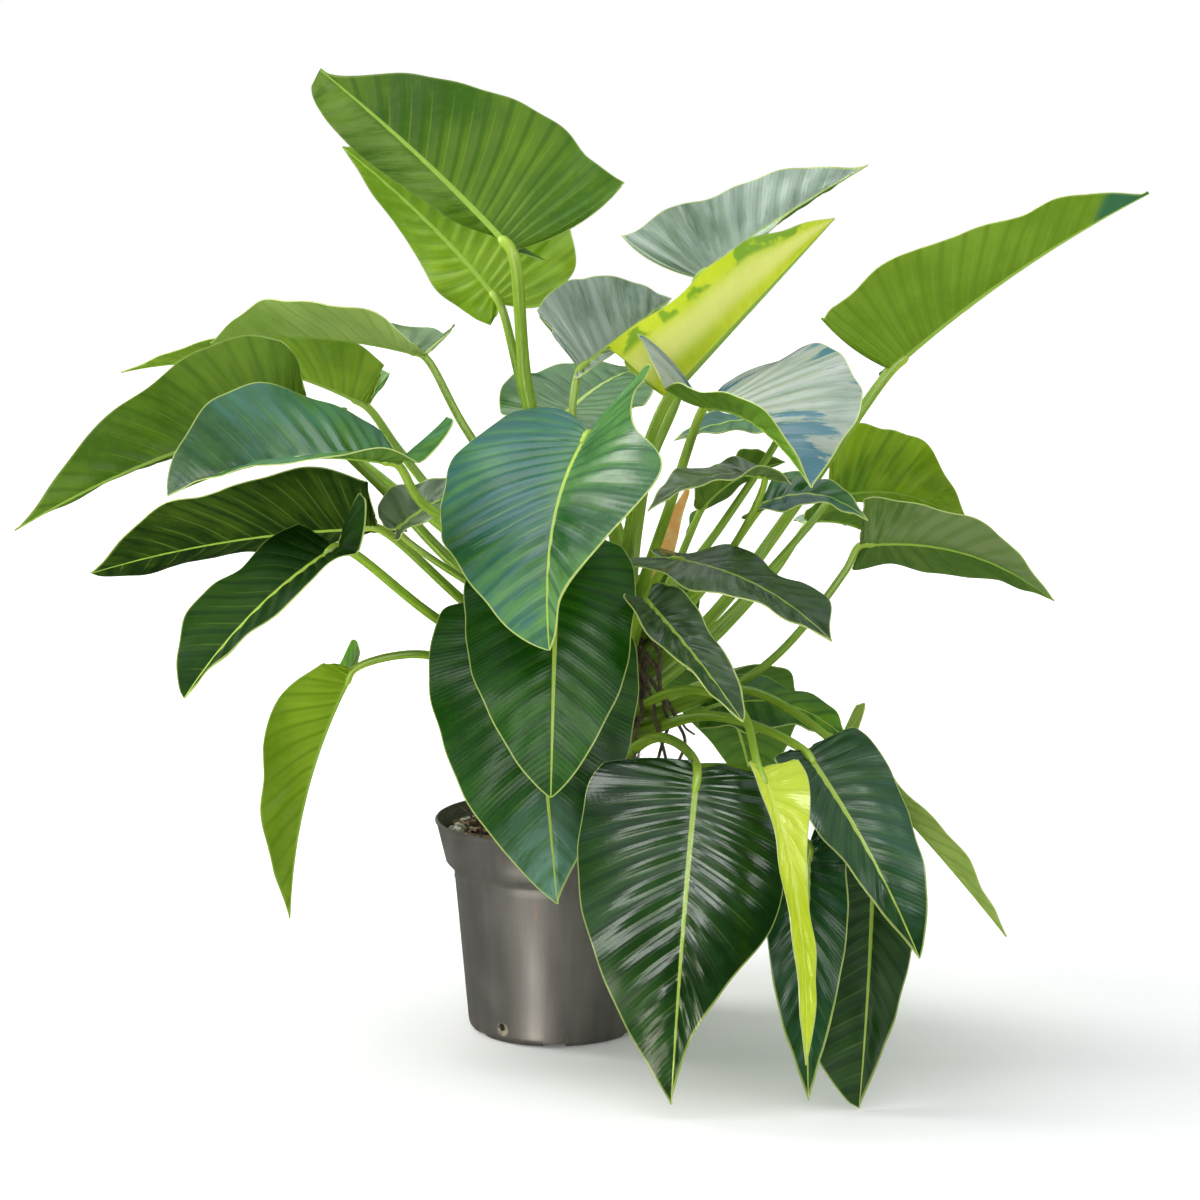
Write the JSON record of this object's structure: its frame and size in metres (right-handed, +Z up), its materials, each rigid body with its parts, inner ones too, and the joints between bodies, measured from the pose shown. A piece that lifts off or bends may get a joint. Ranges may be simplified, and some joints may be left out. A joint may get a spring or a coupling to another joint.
{
  "type": "potted philodendron",
  "caption": "Green beauty philodendron with glossy heart-shaped leaves on long arching stalks, growing from a leaning stem in a plain round nursery pot.",
  "frame": {"origin": "centre of the pot's flat underside, on the surface that it stands on", "axes": "+Z up out of the pot, +X along the widest spread of the leaves, towards the highest outer leaf; the picture's camera looks along +Y"},
  "size_m": [1.1001, 0.7031, 0.9563],
  "materials": {
    "pot": "dark warm grey, satin to matt, with soft streaks and some dust",
    "soil": "rough bark and fibre mix with pale specks",
    "trunk": "brown-green, ringed and fibrous",
    "dried_sheath": "dry, orange-tan, matt",
    "leaf": "glossy green with a blue-grey sheen and pale midribs and margins",
    "young_leaf": "satin lime to near white",
    "lime_leaf": "satin lime"
  },
  "bodies": {
    "root": {"pot": "pot", "soil": "soil", "trunk": "trunk", "dried_sheath": "dried_sheath", "leaf_top_1": "leaf", "leaf_top_2": "leaf", "leaf_left_1": "leaf", "leaf_left_2": "leaf", "leaf_left_3": "leaf", "leaf_left_4": "leaf", "leaf_left_5": "leaf", "leaf_left_6": "leaf", "leaf_left_7": "leaf", "leaf_left_8": "leaf", "leaf_front_1": "leaf", "leaf_front_2": "leaf", "leaf_front_3": "leaf", "leaf_low_1": "leaf", "leaf_low_2": "lime_leaf", "leaf_low_3": "leaf", "leaf_low_4": "leaf", "leaf_low_5": "leaf", "leaf_low_6": "leaf", "leaf_low_7": "leaf", "leaf_right_1": "leaf", "leaf_right_2": "leaf", "leaf_right_3": "leaf", "leaf_right_4": "leaf", "leaf_right_5": "leaf", "leaf_right_6": "leaf", "leaf_right_7": "leaf", "leaf_right_8": "leaf", "leaf_back_1": "leaf", "leaf_back_2": "leaf", "leaf_back_3": "leaf", "leaf_back_4": "leaf", "leaf_back_5": "leaf", "leaf_back_6": "leaf", "leaf_rolled": "young_leaf", "leaf_back_7": "leaf", "leaf_back_8": "leaf", "leaf_back_9": "leaf", "leaf_back_10": "leaf"}
  },
  "joints": []
}
